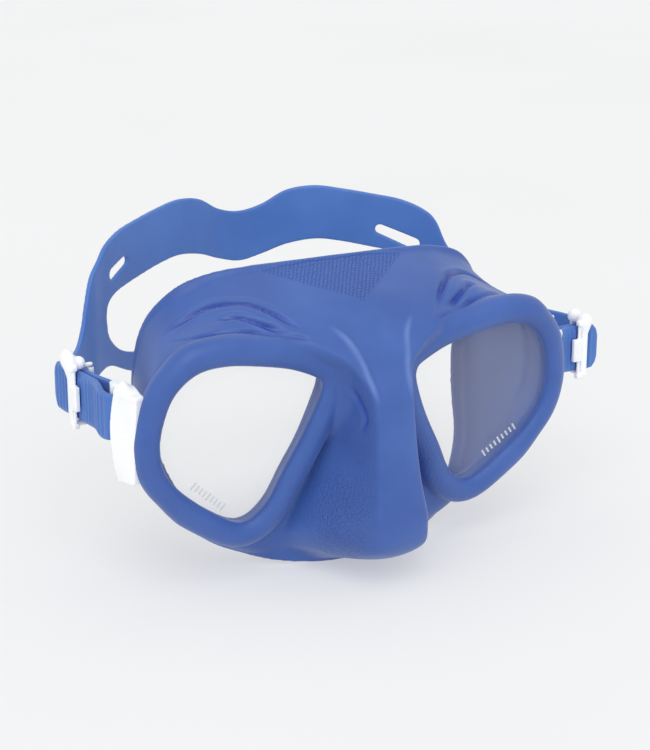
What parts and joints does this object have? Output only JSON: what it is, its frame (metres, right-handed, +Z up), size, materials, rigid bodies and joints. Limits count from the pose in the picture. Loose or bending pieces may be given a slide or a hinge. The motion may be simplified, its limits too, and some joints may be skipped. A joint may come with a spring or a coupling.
{
  "type": "diving mask",
  "caption": "Low-volume diving mask with separate lenses in a soft nose-pocket skirt, a split head strap and side sliders that adjust the strap's ribbed ends.",
  "frame": {"origin": "on the wearer's face between the eyes, in the plane 25 mm behind the lenses at the nose bridge", "axes": "+X to the right as seen from in front of the mask, +Y back towards the wearer, +Z up"},
  "size_m": [0.1975, 0.1262, 0.114],
  "materials": {
    "silicone": "satin",
    "strap_silicone": "satin",
    "glass": "gloss",
    "ring_plastic": "matte",
    "white_plastic": "gloss",
    "pin_steel": "satin"
  },
  "bodies": {
    "mask": {"skirt": "silicone", "lens_left": "glass", "lens_right": "glass", "lens_ring_left": "ring_plastic", "lens_ring_right": "ring_plastic", "lug_left": "white_plastic", "lug_right": "white_plastic", "lug_post_left": "white_plastic", "lug_post_right": "white_plastic", "strap_back": "strap_silicone"},
    "loop_left": {"strap_loop_left": "strap_silicone"},
    "slider_left": {"slider_frame_left": "white_plastic", "slider_pin_left": "pin_steel"},
    "roller_left": {"slider_roller_left": "white_plastic"},
    "pawl_left": {"slider_pawl_left": "white_plastic"},
    "loop_right": {"strap_loop_right": "strap_silicone"},
    "slider_right": {"slider_frame_right": "white_plastic", "slider_pin_right": "pin_steel"},
    "roller_right": {"slider_roller_right": "white_plastic"},
    "pawl_right": {"slider_pawl_right": "white_plastic"}
  },
  "joints": [
    {"name": "loop_swing_left", "type": "hinge", "parent": "mask", "child": "loop_left", "pos_m": [-0.0835, -0.011, 0.018], "axis": [0, 0, 1], "range_deg": [0, 12]},
    {"name": "slider_slide_left", "type": "slide", "parent": "loop_left", "child": "slider_left", "axis": [-0.1219, 0.9925, 0], "range_m": [-0.004, 0]},
    {"name": "roller_spin_left", "type": "hinge", "parent": "slider_left", "child": "roller_left", "pos_m": [-0.08285, 0.01326, 0.018], "axis": [0, 0, 1], "continuous": true},
    {"name": "pawl_swing_left", "type": "hinge", "parent": "slider_left", "child": "pawl_left", "pos_m": [-0.09001, 0.01006, 0.018], "axis": [0, 0, 1], "range_deg": [-25, 0], "stiffness_Nm_per_rad": 0.004},
    {"name": "loop_swing_right", "type": "hinge", "parent": "mask", "child": "loop_right", "pos_m": [0.0835, -0.011, 0.015], "axis": [0, 0, 1], "range_deg": [-10, 0]},
    {"name": "slider_slide_right", "type": "slide", "parent": "loop_right", "child": "slider_right", "axis": [1, 0, 0], "range_m": [-0.002, 0]},
    {"name": "roller_spin_right", "type": "hinge", "parent": "slider_right", "child": "roller_right", "pos_m": [0.097, -0.0074, 0.015], "axis": [0, 0, 1], "continuous": true},
    {"name": "pawl_swing_right", "type": "hinge", "parent": "slider_right", "child": "pawl_right", "pos_m": [0.0947, -0.0149, 0.015], "axis": [0, 0, 1], "range_deg": [0, 25], "stiffness_Nm_per_rad": 0.004}
  ]
}
